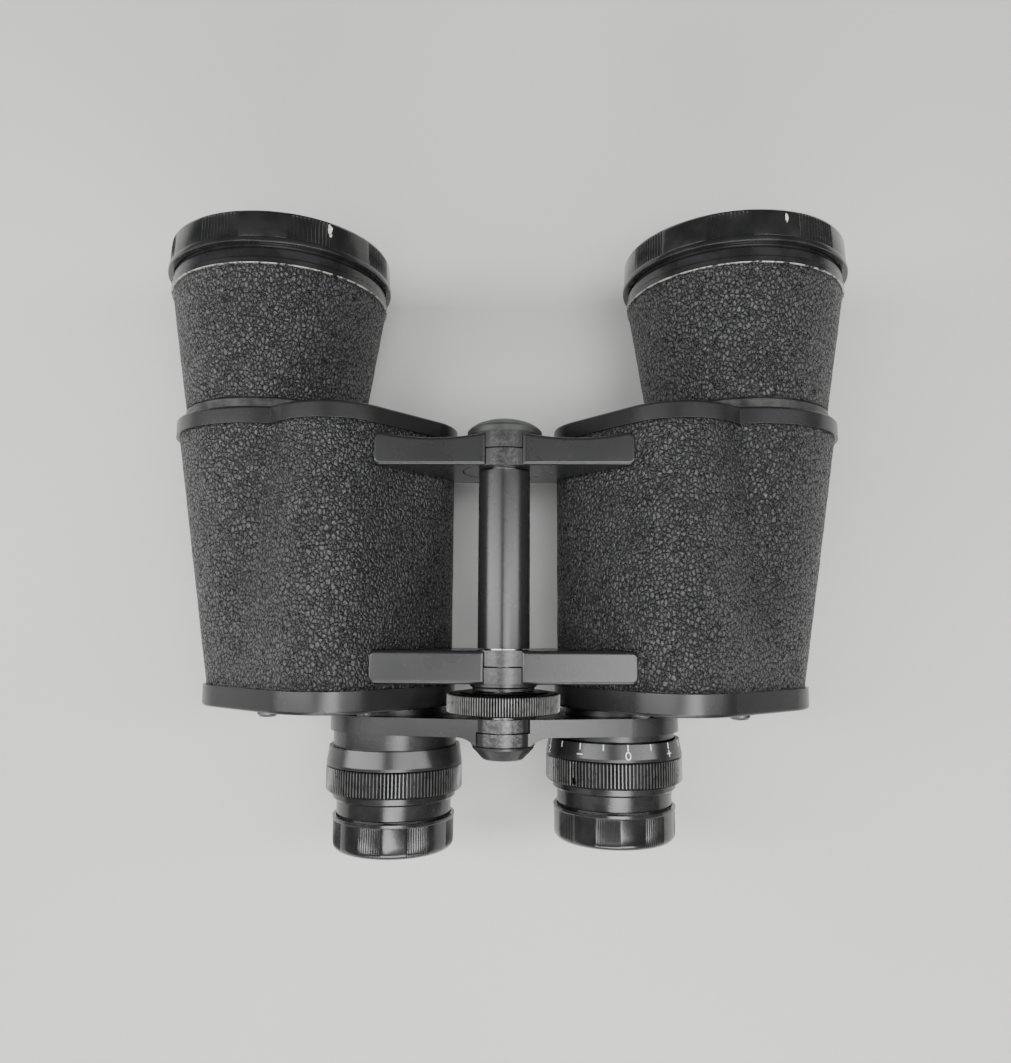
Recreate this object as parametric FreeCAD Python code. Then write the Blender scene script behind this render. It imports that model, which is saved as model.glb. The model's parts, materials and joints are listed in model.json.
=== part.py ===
import FreeCAD, Part
import math
import os

os.makedirs("parts", exist_ok=True)
V = FreeCAD.Vector

# Porro prism binoculars, 50 mm objective class, lying belly down. Millimetres.
# +X is to the user's right, +Y runs from the eyes to the objectives, +Z is up.
# The origin is the centre of the footprint. Everything is drawn for the right
# half (x > 0) and mirrored for the left, except where the two halves interleave.

# ---- driving dimensions ---------------------------------------------------
AXIS_Z = 31.5            # height of the optical axes above the rest plane
HINGE_Z = 48.0           # height of the hinge axis
OBJ_X = 65.84            # objective axis to the middle plane
EYE_X = 29.94            # eyepiece axis to the middle plane: 59.9 mm between pupils
RUN = 0.05               # radial clearance of a running fit
GAP = 0.3                # clearance between pieces that move past each other

# prism housing, measured along Y
HOUSING_REAR = -39.8
HOUSING_FRONT = 27.4
FRONT_COVER_END = 31.9
REAR_COVER_END = -45.4
LEATHER = 1.0
WALL = 2.2
COVER_LIP = 0.85         # how far the covers stand proud of the leather
COVER_EDGE_R = 0.8       # rounded outer edge of the covers
SHELF = (-7.5, -4.5)     # bulkhead that carries a prism on each side

# the housing's section is the belt round four circles (x, height over axis, r)
LOBE_OUTER = (OBJ_X, 0.0, 16.2)
LOBE_TOP = (45.5, 15.5, 16.65)
LOBE_INNER = (29.9, 0.0, 15.2)
LOBE_BELLY = (52.0, -14.5, 16.5)
CONE_FRONT_R = 26.2      # bulge concentric with the objective, at the front
CONE_REAR_R = 16.1

# prisms
PRISM_R = 9.8            # half width, and the radius of the rounded ends

# objective barrel
BARREL_SEAT_R = 22.5
BASE_RING = (31.9, 35.0, 24.9)
CONE_START = 35.0
CONE_END = 68.65
CONE_SMALL_R = 24.7
CONE_LARGE_R = 29.9
FRONT_RING_R = 30.36
CELL_R = 26.3
LENS_R = 25.4

# lens caps
OBJ_CAP_RIM = 73.9
OBJ_CAP_END = 83.0
OBJ_CAP_R = 31.2
OBJ_CAP_LIP_R = 31.5

# central hinge
PIN_R = 5.0
PIN_BORE_R = 4.3
KNUCKLE_R = 10.8
ARM_TOP = 10.2           # flat top of the arms above the hinge axis
ARM_BOTTOM = -16.0
ARM_REACH = 33.5
ARM_EDGE_R = 0.9         # rounded top edges of the arms
ARM_CORNER_R = 1.8       # rounded corners where the arms end against the leather
ARM_INNER = 4.5          # the raised tops stop short of the knuckles
ARM_GROOVE = 1.2         # depth of the groove beside the knuckles
FRONT_ARM_DIP = 1.4      # the front arms are hollowed along their front edge
FRONT_ARM = (16.6, 25.2)
REAR_ARM = (-38.2, -29.95)
SHAFT_R = 6.76

# focusing
WHEEL = (-46.25, -40.45)
WHEEL_R = 14.5
SPINDLE_R = 4.0
HUB_R = 8.2
HUB = (-53.7, -47.05)
BRIDGE = (-51.7, -47.2)
BRIDGE_RING_R = 17.6

# eyepieces, measured along Y for the left one
TUBE_R = 13.2
TUBE_BORE_R = 12.4
CONE_RING = (-60.85, -55.9)
KNURL = (-67.75, -60.85)
KNURL_R = 18.4
SCALE_RING_R = 18.35     # widest edge of the conical rings
SCALE_FRONT_R = 17.7
EYECUP_FLANGE = -69.8
NECK_R = 15.45
EYE_CAP_RIM = -74.1
EYE_CAP_END = -83.0
EYE_CAP_R = 16.45
RIGHT_HEAD_SHIFT = 2.8   # the right head is screwed in this much further


# ---- construction helpers -------------------------------------------------
def cyl(x, z, r, y0, y1):
    """Solid cylinder along Y."""
    return Part.makeCylinder(r, y1 - y0, V(x, y0, z), V(0, 1, 0))


def ring(x, z, r_in, r_out, y0, y1):
    """Plain ring along Y."""
    return cyl(x, z, r_out, y0, y1).cut(cyl(x, z, r_in, y0 - 1, y1 + 1))


def lathe(x, z, profile):
    """Solid turned about an axis along Y from closed (radius, y) points."""
    points = [V(x + r, y, z) for r, y in profile]
    face = Part.Face(Part.makePolygon(points + points[:1]))
    return face.revolve(V(x, 0, z), V(0, 1, 0), 360)


def cone(x, z, r0, r1, y0, y1):
    """Solid truncated cone along Y, radius r0 at y0 and r1 at y1."""
    return lathe(x, z, [(0, y0), (r0, y0), (r1, y1), (0, y1)])


def box(x0, x1, y0, y1, z0, z1):
    return Part.makeBox(x1 - x0, y1 - y0, z1 - z0, V(x0, y0, z0))


def belt(circles, y0, y1):
    """Solid between y0 and y1 whose section is the belt round the circles.

    The circles (x, z, r) go anticlockwise seen from the rear."""
    count = len(circles)
    normals = []
    for i in range(count):
        xa, za, ra = circles[i]
        xb, zb, rb = circles[(i + 1) % count]
        span = math.hypot(xb - xa, zb - za)
        heading = math.atan2(zb - za, xb - xa)
        normals.append(heading - math.acos((ra - rb) / span))
    edges = []
    for i in range(count):
        x, z, r = circles[i]
        enter = normals[i - 1]
        leave = normals[i]
        while leave < enter:
            leave += 2 * math.pi
        arc = [V(x + r * math.cos(a), y0, z + r * math.sin(a))
               for a in (enter, (enter + leave) / 2, leave)]
        edges.append(Part.Arc(*arc).toShape())
        xn, zn, rn = circles[(i + 1) % count]
        landing = V(xn + rn * math.cos(leave), y0, zn + rn * math.sin(leave))
        edges.append(Part.LineSegment(arc[2], landing).toShape())
    face = Part.Face(Part.Wire(edges))
    return face.extrude(V(0, y1 - y0, 0))


def lens(x, z, r, y_back, y_front, sag_back, sag_front):
    """Round lens: the sags are how far each face bulges past its edge."""
    def edge_point(radius, y):
        return V(x + radius, y, z)

    def face_curve(y, bulge):
        middle = y + bulge * 0.75
        return Part.Arc(edge_point(0, y + bulge), edge_point(r / 2, middle), edge_point(r, y))

    front = face_curve(y_front, sag_front).toShape()
    rim = Part.LineSegment(edge_point(r, y_front), edge_point(r, y_back)).toShape()
    back = face_curve(y_back, -sag_back).toShape()
    axis = Part.LineSegment(edge_point(0, y_back - sag_back),
                            edge_point(0, y_front + sag_front)).toShape()
    wire = Part.Wire(Part.__sortEdges__([front, rim, back, axis]))
    return Part.Face(wire).revolve(V(x, 0, z), V(0, 1, 0), 360)


def fused(shapes):
    """One solid from several that touch or overlap."""
    return shapes[0].fuse(shapes[1:]).removeSplitter()


def mirrored(shape):
    return shape.mirror(V(0, 0, 0), V(1, 0, 0))


def save(name, shape):
    shape.exportStep("parts/" + name + ".step")


def save_pair(name, shape):
    """Write the right piece and its mirror image for the left half."""
    save("right_" + name, shape)
    save("left_" + name, mirrored(shape))


# ---- prism housing --------------------------------------------------------
def lobes(grow, count=4):
    """Section circles, each grown by the same amount."""
    section = [LOBE_OUTER, LOBE_TOP, LOBE_INNER, LOBE_BELLY]
    return [(x, AXIS_Z + h, r + grow) for x, h, r in section[:count]]


def housing_form(grow, y0=HOUSING_REAR, y1=HOUSING_FRONT):
    """Belted prism body joined to the cone behind the objective."""
    bulge = cone(OBJ_X, AXIS_Z, CONE_REAR_R + grow, CONE_FRONT_R + grow,
                 HOUSING_REAR, HOUSING_FRONT)
    reach = box(0, 200, y0, y1, -50, 150)
    return fused([belt(lobes(grow), y0, y1), bulge.common(reach)])


def arm_plate(y0, y1, dip=0.0):
    """Flat topped arm with rounded top edges, lower where it meets the knuckles.

    dip is how far the middle of its front edge is hollowed."""
    z0, z1 = HINGE_Z + ARM_BOTTOM, HINGE_Z + ARM_TOP
    raised = box(ARM_INNER, ARM_REACH, y0, y1, z0, z1)
    corners = [e for e in raised.Edges if e.BoundBox.ZLength > 1.0
               and e.BoundBox.XMin > ARM_INNER + 1.0]
    raised = raised.makeFillet(ARM_CORNER_R, corners)
    if dip > 0:
        half = (ARM_REACH - ARM_CORNER_R - ARM_INNER) / 2
        hollow_r = (half * half + dip * dip) / (2 * dip)
        hollow = Part.makeCylinder(hollow_r, z1 - z0 + 2, V(ARM_INNER + half, y1 - dip + hollow_r, z0 - 1))
        raised = raised.cut(hollow)
    rim = [e for e in raised.Edges if e.BoundBox.ZMin > z1 - 0.01]
    raised = raised.makeFillet(ARM_EDGE_R, rim)
    root = box(0, ARM_INNER + 1.0, y0, y1, z0, z1 - ARM_GROOVE)
    return fused([raised, root])


def hinge_arm(plate, knuckle, clear):
    """Arm from the housing to the hinge, with its own knuckle.

    clear is the stretch of Y where the other half's knuckle turns."""
    plate = plate.cut(box(-1, 5, -100, 100, 0, HINGE_Z - PIN_R))
    plate = plate.cut(cyl(0, HINGE_Z, KNUCKLE_R + GAP, clear[0], clear[1]))
    barrel = cyl(0, HINGE_Z, KNUCKLE_R, knuckle[0], knuckle[1])
    return fused([plate, barrel])


def front_plate():
    return arm_plate(FRONT_ARM[0], FRONT_ARM[1], FRONT_ARM_DIP)


def rear_plate():
    return arm_plate(REAR_ARM[0], REAR_ARM[1])


FRONT_SEAM = 21.1
REAR_SEAM = -34.0


def left_arms():
    """The left half carries the outer knuckles. Drawn as if on the right."""
    front = hinge_arm(front_plate(),
                      (FRONT_SEAM + GAP / 2, FRONT_ARM[1] + 0.4),
                      (FRONT_ARM[0] - 1, FRONT_SEAM + GAP / 2))
    rear = hinge_arm(rear_plate(),
                     (REAR_ARM[0], REAR_SEAM - GAP / 2),
                     (REAR_SEAM - GAP / 2, REAR_ARM[1] + 1))
    return [front, rear]


def right_arms():
    """The right half carries the inner knuckles."""
    front = hinge_arm(front_plate(),
                      (FRONT_ARM[0], FRONT_SEAM - GAP / 2),
                      (FRONT_SEAM - GAP / 2, FRONT_ARM[1] + 1))
    rear = hinge_arm(rear_plate(),
                     (REAR_SEAM + GAP / 2, REAR_ARM[1]),
                     (REAR_ARM[0] - 1, REAR_SEAM + GAP / 2))
    return [front, rear]


# screw places (x, height over the axis)
REAR_SCREWS = [(58.5, 23.2), (34.5, 21.0), (76.0, -5.0), (38.5, -20.5)]
FRONT_SCREWS = [(34.5, 21.0), (20.5, -7.0), (40.0, -22.0)]
SCREW_R = 1.2
SCREW_HEAD_R = 2.6
SCREW_HEAD_H = 1.3
SCREW_LENGTH = 9.0
BOSS_R = 3.0


def optical_points():
    """Objective axis, the axis between the prisms, and the eyepiece axis."""
    half = (OBJ_X - EYE_X) / 2
    return [(OBJ_X, AXIS_Z), (OBJ_X - half, AXIS_Z + half), (EYE_X, AXIS_Z)]


def housing(arms, pin_hole_r):
    """Cast prism housing with its hinge arms, hollow and open at both ends."""
    body = fused([housing_form(-LEATHER)] + arms)
    inner = housing_form(-LEATHER - WALL)
    inner = inner.fuse(belt(lobes(-LEATHER - WALL), HOUSING_REAR - 1, HOUSING_REAR + 1))
    shelf = housing_form(-LEATHER - WALL / 2, SHELF[0], SHELF[1])
    for x, z in optical_points():
        shelf = shelf.cut(cyl(x, z, PRISM_R - 0.8, SHELF[0] - 1, SHELF[1] + 1))
    bosses = [cyl(x, AXIS_Z + h, BOSS_R, HOUSING_REAR, HOUSING_REAR + 8) for x, h in REAR_SCREWS]
    bosses += [cyl(x, AXIS_Z + h, BOSS_R, HOUSING_FRONT - 8, HOUSING_FRONT)
               for x, h in FRONT_SCREWS]
    skin = housing_form(-LEATHER)
    bosses = [boss.common(skin) for boss in bosses]
    body = fused([body.cut(inner), shelf] + bosses)
    body = body.cut(cyl(0, HINGE_Z, pin_hole_r, REAR_ARM[0] - 1, FRONT_ARM[1] + 1))
    body = body.cut(cyl(EYE_X, AXIS_Z, TUBE_R + GAP, HOUSING_REAR - 1, TUBE_FRONT + 1))
    for x, h in REAR_SCREWS:
        body = body.cut(cyl(x, AXIS_Z + h, SCREW_R, HOUSING_REAR - 1, HOUSING_REAR + 6))
    for x, h in FRONT_SCREWS:
        body = body.cut(cyl(x, AXIS_Z + h, SCREW_R, HOUSING_FRONT - 6, HOUSING_FRONT + 1))
    return body


def housing_leather():
    """Leather wrap of the housing, cut out round the hinge arms."""
    wrap = housing_form(0).cut(housing_form(-LEATHER))
    return wrap.cut(front_plate()).cut(rear_plate())


def rest_plane_cut(shape):
    """Grind the belly flat where the binoculars stand on it."""
    return shape.cut(box(0, 200, -200, 200, -50, 0))


def belly_lobes(grow):
    """Cover outline: its belly reaches just past the rest plane."""
    outline = lobes(grow)
    x, z, _ = outline[3]
    outline[3] = (x, z, z + 0.4)
    return outline


def front_cover():
    """Front plate of the prism housing with the seat of the objective barrel."""
    outline = belt(belly_lobes(COVER_LIP), HOUSING_FRONT, FRONT_COVER_END)
    disc = cyl(OBJ_X, AXIS_Z, CONE_FRONT_R + COVER_LIP, HOUSING_FRONT, FRONT_COVER_END)
    plate = fused([outline, disc])
    plate = plate.cut(cyl(OBJ_X, AXIS_Z, BARREL_SEAT_R, 0, 100))
    for x, h in FRONT_SCREWS:
        plate = plate.cut(cyl(x, AXIS_Z + h, SCREW_R, 0, 100))
    edge = [e for e in plate.Edges if e.BoundBox.YLength < 0.01
            and e.BoundBox.YMin > FRONT_COVER_END - 0.1 and e.Length > 9.0
            and not is_hole_edge(e)]
    return rest_plane_cut(plate.makeFillet(COVER_EDGE_R, edge))


def is_hole_edge(edge):
    """True for the whole circles, which are holes and not the outline."""
    return len(edge.Vertexes) == 1


BUSH_R = 14.4
BUSH_FRONT = -40.1


def rear_cover():
    """Rear plate: a shallow tray with the seat of the eyepiece bush."""
    tray = belt(belly_lobes(COVER_LIP), REAR_COVER_END, HOUSING_REAR)
    edge = [e for e in tray.Edges if e.BoundBox.YLength < 0.01
            and e.BoundBox.YMin < REAR_COVER_END + 0.1]
    tray = tray.makeFillet(COVER_EDGE_R, edge)
    pocket = belt(lobes(-LEATHER - WALL), REAR_COVER_END + WALL, HOUSING_REAR + 1)
    seats = [cyl(x, AXIS_Z + h, BOSS_R, REAR_COVER_END, HOUSING_REAR) for x, h in REAR_SCREWS]
    for seat in seats:
        pocket = pocket.cut(seat)
    tray = tray.cut(pocket)
    tray = tray.cut(cyl(EYE_X, AXIS_Z, BUSH_R, -100, 0))
    for x, h in REAR_SCREWS:
        tray = tray.cut(cyl(x, AXIS_Z + h, SCREW_R, -100, 0))
    return rest_plane_cut(tray)


def dome_screw(x, h, seat, sign):
    """Domed cover screw with a slot; sign is +1 when its head faces +Y."""
    y_head = SCREW_HEAD_H
    profile = [(0, -SCREW_LENGTH), (SCREW_R, -SCREW_LENGTH), (SCREW_R, 0),
               (SCREW_HEAD_R, 0), (SCREW_HEAD_R, 0.4 * y_head), (0.75 * SCREW_HEAD_R, 0.85 * y_head),
               (0.4 * SCREW_HEAD_R, y_head), (0, y_head)]
    profile = [(r, seat + sign * y) for r, y in profile]
    screw = lathe(x, AXIS_Z + h, profile)
    slot_y = sorted((seat + sign * 0.5 * y_head, seat + sign * 2 * y_head))
    slot = box(x - 3, x + 3, slot_y[0], slot_y[1], AXIS_Z + h - 0.35, AXIS_Z + h + 0.35)
    return screw.cut(slot)


def cover_screws():
    screws = [dome_screw(x, h, REAR_COVER_END, -1) for x, h in REAR_SCREWS]
    screws += [dome_screw(x, h, FRONT_COVER_END, 1) for x, h in FRONT_SCREWS]
    return Part.makeCompound(screws)


# ---- prisms ---------------------------------------------------------------
def prism(start, end, y_face, direction):
    """Right angle prism across two beams, its long face on the shelf."""
    (xa, za), (xb, zb) = start, end
    pitch = math.hypot(xb - xa, zb - za)
    height = pitch / 2 + PRISM_R
    ux = (xb - xa) / pitch
    uz = (zb - za) / pitch
    xm = (xa + xb) / 2
    zm = (za + zb) / 2
    ridge = 1.5

    def corner(along, out):
        return V(xm + ux * along + uz * PRISM_R, y_face + direction * out,
                 zm + uz * along - ux * PRISM_R)

    section = [corner(-height, 0), corner(height, 0), corner(ridge, height - ridge),
               corner(-ridge, height - ridge)]
    wedge = Part.Face(Part.makePolygon(section + section[:1]))
    wedge = wedge.extrude(V(-2 * PRISM_R * uz, 0, 2 * PRISM_R * ux))
    low, high = sorted((y_face, y_face + direction * height))
    plan = belt([(xa, za, PRISM_R), (xb, zb, PRISM_R)], low, high)
    return wedge.common(plan)


def prism_clip(start, end, y_face, direction):
    """Spring strap over the ridge of a prism, standing on the shelf."""
    (xa, za), (xb, zb) = start, end
    angle = math.degrees(math.atan2(zb - za, xb - xa))
    thick = 0.8
    width = 7.0
    side = PRISM_R + 0.15
    height = math.hypot(xb - xa, zb - za) / 2 + PRISM_R - 1.5 + 0.1
    outer = Part.makeBox(width, height + thick, 2 * (side + thick),
                         V(-width / 2, 0, -side - thick))
    inner = Part.makeBox(width + 2, height + 1, 2 * side, V(-width / 2 - 1, -1, -side))
    strap = outer.cut(inner)
    if direction < 0:
        strap = strap.mirror(V(0, 0, 0), V(0, 1, 0))
    strap.rotate(V(0, 0, 0), V(0, 1, 0), -angle)
    strap.translate(V((xa + xb) / 2, y_face, (za + zb) / 2))
    return strap


def save_prisms():
    objective, middle, eyepiece = optical_points()
    save_pair("rear_prism", prism(objective, middle, SHELF[0], -1))
    save_pair("front_prism", prism(middle, eyepiece, SHELF[1], 1))
    clips = [prism_clip(objective, middle, SHELF[0], -1),
             prism_clip(middle, eyepiece, SHELF[1], 1)]
    save_pair("prism_clips", Part.makeCompound(clips))


# ---- objective ------------------------------------------------------------
def barrel():
    """Conical objective barrel: seat, base ring, cone, and spigot for the front ring."""
    skin = LEATHER
    bore_small = BARREL_SEAT_R - 2.0
    y0, y1, base_r = BASE_RING
    profile = [(bore_small, 28.2), (BARREL_SEAT_R, 28.2), (BARREL_SEAT_R, y0), (base_r, y0),
               (base_r, y1 - 0.6), (base_r - 0.6, y1), (CONE_SMALL_R - skin, y1),
               (CONE_LARGE_R - skin, CONE_END),
               (27.2, CONE_END), (27.2, 73.6), (CELL_R, 73.6), (CELL_R, 60.5),
               (24.6, 60.5), (bore_small + 0.6, CONE_START + 2.0), (bore_small, CONE_START)]
    return lathe(OBJ_X, AXIS_Z, profile)


def barrel_leather():
    skin = LEATHER
    profile = [(CONE_SMALL_R - skin, CONE_START), (CONE_SMALL_R, CONE_START),
               (CONE_LARGE_R, CONE_END), (CONE_LARGE_R - skin, CONE_END)]
    return lathe(OBJ_X, AXIS_Z, profile)


def front_ring():
    """Threaded ring on the barrel; the lens cap pushes over its front part."""
    under_cap_r = 29.6
    profile = [(27.2, CONE_END), (FRONT_RING_R, CONE_END), (FRONT_RING_R, 70.2),
               (FRONT_RING_R - 0.3, 70.6), (FRONT_RING_R - 0.3, 72.6), (under_cap_r, 73.4),
               (under_cap_r, 80.4), (under_cap_r - 0.6, 81.0), (26.8, 81.0), (26.4, 80.6),
               (26.4, 73.6), (27.2, 73.6)]
    return lathe(OBJ_X, AXIS_Z, profile)


def objective_cell():
    lip = 61.55
    profile = [(24.4, 60.5), (CELL_R, 60.5), (CELL_R, 70.0), (LENS_R, 70.0),
               (LENS_R, lip), (24.4, lip)]
    return lathe(OBJ_X, AXIS_Z, profile)


def save_objective():
    save_pair("objective_barrel", barrel())
    save_pair("barrel_leather", barrel_leather())
    save_pair("front_ring", front_ring())
    save_pair("objective_cell", objective_cell())
    crown = lens(OBJ_X, AXIS_Z, LENS_R, 66.2, 69.0, 2.6, 2.0)
    save_pair("objective_crown_lens", crown)
    flint = lens(OBJ_X, AXIS_Z, LENS_R, 61.6, 66.2, 0.6, -2.6)
    save_pair("objective_flint_lens", flint)


def objective_cap():
    """Push-on cap: ribbed skirt with a lip at its rim and a dished end."""
    bore = 29.9
    profile = [(0, 81.5), (bore, 81.5), (bore, OBJ_CAP_RIM), (OBJ_CAP_LIP_R, OBJ_CAP_RIM),
               (OBJ_CAP_LIP_R, OBJ_CAP_RIM + 1.5), (OBJ_CAP_R, OBJ_CAP_RIM + 1.8),
               (OBJ_CAP_R - 0.3, 82.1), (OBJ_CAP_R - 1.2, OBJ_CAP_END), (27.5, OBJ_CAP_END),
               (26.9, OBJ_CAP_END - 0.5), (0, OBJ_CAP_END - 0.5)]
    return lathe(OBJ_X, AXIS_Z, profile)


# ---- central hinge --------------------------------------------------------
def hinge_pin():
    """Steel axle, bored at the rear for the focusing spindle."""
    rod = cyl(0, HINGE_Z, PIN_R, REAR_ARM[0], FRONT_ARM[1] + 0.4)
    return rod.cut(cyl(0, HINGE_Z, PIN_BORE_R, REAR_ARM[0] - 1, -20.0))


def shaft_tube():
    """Tube seen between the arms, over the axle."""
    return ring(0, HINGE_Z, PIN_R, SHAFT_R, REAR_ARM[1] + GAP, FRONT_ARM[0] - GAP)


def hinge_cap():
    """Low domed cap that closes the front of the hinge."""
    y0 = FRONT_ARM[1] + 0.4
    rim_r = 9.9
    profile = [(0, y0), (rim_r, y0), (rim_r, y0 + 1.6), (rim_r - 0.6, y0 + 2.3),
               (rim_r - 2.0, y0 + 3.3), (rim_r - 4.6, y0 + 4.3), (0, y0 + 4.8)]
    return lathe(0, HINGE_Z, profile)


def wheel_collar():
    """Flanged bush behind the rear knuckle: the focus wheel turns against it."""
    profile = [(PIN_BORE_R, REAR_ARM[0]), (8.6, REAR_ARM[0]), (8.6, -39.1), (8.0, -39.5),
               (8.0, WHEEL[1] + GAP), (PIN_BORE_R, WHEEL[1] + GAP)]
    return lathe(0, HINGE_Z, profile)


# ---- focusing gear --------------------------------------------------------
def focus_wheel():
    """Focus wheel, threaded on the spindle."""
    y0, y1 = WHEEL
    bore = SPINDLE_R + RUN
    profile = [(bore, y0), (11.0, y0), (11.6, y0 + 0.5), (WHEEL_R - 0.5, y0 + 0.5), (WHEEL_R, y0 + 0.9),
               (WHEEL_R, y1 - 0.8), (WHEEL_R - 0.5, y1 - 0.4), (11.6, y1 - 0.4), (11.0, y1), (bore, y1)]
    return lathe(0, HINGE_Z, profile)


def spindle():
    return cyl(0, HINGE_Z, SPINDLE_R, HUB[0], -25.0)


def hub_cap():
    """Truncated cone that closes the rear of the bridge."""
    rim_r = 7.9
    end = HUB[0] - 3.7
    profile = [(0, HUB[0] - GAP), (rim_r, HUB[0] - GAP), (rim_r, HUB[0] - 0.8), (5.5, end + 0.3),
               (5.1, end), (0, end)]
    neck = cyl(0, HINGE_Z, SPINDLE_R, HUB[0] - 1.0, HUB[0])
    return fused([lathe(0, HINGE_Z, profile), neck])


HUB_SEAM = -50.4
RING_SWEEP_R = SCALE_RING_R + 0.4    # the eyepiece rings turn behind the arms
ARM_ROOT_R = 6.2         # the arms meet the hub lower than its crown
FLARE = (7.0, 13.2)      # x where the flare leaves the hub, and where it meets the arm


def bridge_arm(knuckle, clear, bore):
    """Half of the ocular bridge: ring round the eyepiece, arm, flared root and knuckle."""
    y0, y1 = BRIDGE
    eye = (EYE_X, AXIS_Z, BRIDGE_RING_R)
    hinge = (0, HINGE_Z, ARM_ROOT_R)
    arm = belt([hinge, eye], y0, y1)
    flare = belt([hinge, eye], HUB[0], y0 + 0.1).cut(flare_cutter())
    arm = fused([arm, flare])
    arm = arm.cut(box(-30, 2.5, -100, 0, 0, HINGE_Z - HUB_R + 1.5))
    arm = arm.cut(cyl(0, HINGE_Z, HUB_R + GAP, clear[0], clear[1]))
    arm = fused([arm, cyl(0, HINGE_Z, HUB_R, knuckle[0], knuckle[1])])
    arm = arm.cut(cyl(0, HINGE_Z, bore, -100, 0))
    arm = arm.cut(cyl(EYE_X, AXIS_Z, RING_SWEEP_R, -100, y0))
    return arm.cut(cyl(EYE_X, AXIS_Z, TUBE_R, -100, 0))


def flare_cutter():
    """Prism that leaves a flare curving from the hub's rear edge to the arm's."""
    start = V(FLARE[0], HUB[0], -50)
    middle = V(FLARE[0] + 2.0, HUB[0] + 1.4, -50)
    finish = V(FLARE[1], BRIDGE[0], -50)
    outer = [finish, V(60, BRIDGE[0], -50), V(60, HUB[0] - 1, -50), V(FLARE[0], HUB[0] - 1, -50),
             start]
    edges = [Part.Arc(start, middle, finish).toShape()]
    edges += [Part.LineSegment(a, b).toShape() for a, b in zip(outer, outer[1:])]
    return Part.Face(Part.Wire(edges)).extrude(V(0, 0, 200))


def save_focusing():
    save("focus_wheel", focus_wheel())
    save("focus_spindle", spindle())
    save("bridge_end_cap", hub_cap())
    left = bridge_arm((HUB_SEAM + GAP / 2, HUB[1]), (HUB[0] - 1, HUB_SEAM + GAP / 2), SPINDLE_R)
    save("left_bridge_arm", mirrored(left))
    right = bridge_arm((HUB[0], HUB_SEAM - GAP / 2), (HUB_SEAM - GAP / 2, HUB[1] + 1),
                       SPINDLE_R + RUN)
    save("right_bridge_arm", right)


# ---- eyepieces ------------------------------------------------------------
TUBE_FRONT = -28.0
DIOPTRE_TUBE_R = TUBE_BORE_R - RUN
DIOPTRE_BORE_R = 11.0


def eyepiece_bush():
    """Brass guide in the rear cover."""
    return ring(EYE_X, AXIS_Z, TUBE_R + RUN, BUSH_R, REAR_COVER_END, BUSH_FRONT)


def eyecup(shift, hole_r):
    """Hard eyecup: flange, neck, and a bowl round the eye lens."""
    profile = [(hole_r, KNURL[0]), (16.6, KNURL[0]), (16.6, EYECUP_FLANGE + 0.5),
               (16.1, EYECUP_FLANGE), (NECK_R, EYECUP_FLANGE), (NECK_R, EYE_CAP_RIM + 0.6),
               (NECK_R - 0.25, EYE_CAP_RIM + 0.3), (NECK_R - 0.25, -79.9),
               (NECK_R - 0.8, -80.4), (NECK_R - 1.6, -80.4), (hole_r - 1.8, -75.4), (hole_r - 1.8, -74.4),
               (hole_r, -74.4)]
    return lathe(EYE_X, AXIS_Z, [(r, y + shift) for r, y in profile])


def eye_cap(shift):
    """Push-on eyepiece cap."""
    bore = NECK_R + 0.05
    profile = [(0, -81.0), (bore, -81.0), (bore, EYE_CAP_RIM), (EYE_CAP_R, EYE_CAP_RIM),
               (EYE_CAP_R, EYE_CAP_RIM - 0.9), (EYE_CAP_R - 0.15, EYE_CAP_RIM - 1.1),
               (EYE_CAP_R - 0.15, -81.2), (EYE_CAP_R - 0.6, -82.3), (EYE_CAP_R - 1.6, EYE_CAP_END),
               (0, EYE_CAP_END)]
    return lathe(EYE_X, AXIS_Z, [(r, y + shift) for r, y in profile])


def cone_ring(y0, y1, bore):
    """Conical ring, wider towards the eye; the right one carries the scale."""
    profile = [(bore, y0), (SCALE_RING_R, y0), (SCALE_RING_R, y0 + 0.7), (SCALE_FRONT_R, y1), (bore, y1)]
    return lathe(EYE_X, AXIS_Z, profile)


def knurled_ring(shift, bore):
    profile = [(bore, KNURL[0]), (KNURL_R - 0.5, KNURL[0]), (KNURL_R, KNURL[0] + 0.5),
               (KNURL_R, KNURL[1] - 0.4), (KNURL_R - 0.4, KNURL[1]), (bore, KNURL[1])]
    return lathe(EYE_X, AXIS_Z, [(r, y + shift) for r, y in profile])


def save_left_eyepiece():
    tube = ring(EYE_X, AXIS_Z, TUBE_BORE_R, TUBE_R, -74.4, TUBE_FRONT)
    pieces = {
        "eyepiece_tube": tube,
        "eyepiece_spacer": ring(EYE_X, AXIS_Z, TUBE_R, 16.7, CONE_RING[1], BRIDGE[0]),
        "eyepiece_cone_ring": cone_ring(CONE_RING[0], CONE_RING[1], TUBE_R),
        "eyepiece_knurled_ring": knurled_ring(0, TUBE_R),
        "eyecup": eyecup(0, TUBE_R),
        "field_lens": lens(EYE_X, AXIS_Z, TUBE_BORE_R, -48.0, -44.5, 0.3, 2.4),
        "eye_lens": lens(EYE_X, AXIS_Z, TUBE_BORE_R, -72.0, -68.5, 2.6, 1.6),
        "eyepiece_cap": eye_cap(0),
    }
    for name, shape in pieces.items():
        save("left_" + name, mirrored(shape))


def scale_ring():
    """Dioptre scale ring: a thin skirt in front hides the thread."""
    y0 = CONE_RING[0] + RIGHT_HEAD_SHIFT
    y1 = -53.6
    skirt_r = 16.8
    profile = [(TUBE_R + RUN, y0), (SCALE_RING_R, y0), (SCALE_RING_R, y0 + 0.7),
               (SCALE_FRONT_R, y1), (skirt_r, y1), (skirt_r, y0 + 1.2), (TUBE_R + RUN, y0 + 1.2)]
    return lathe(EYE_X, AXIS_Z, profile)


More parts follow.
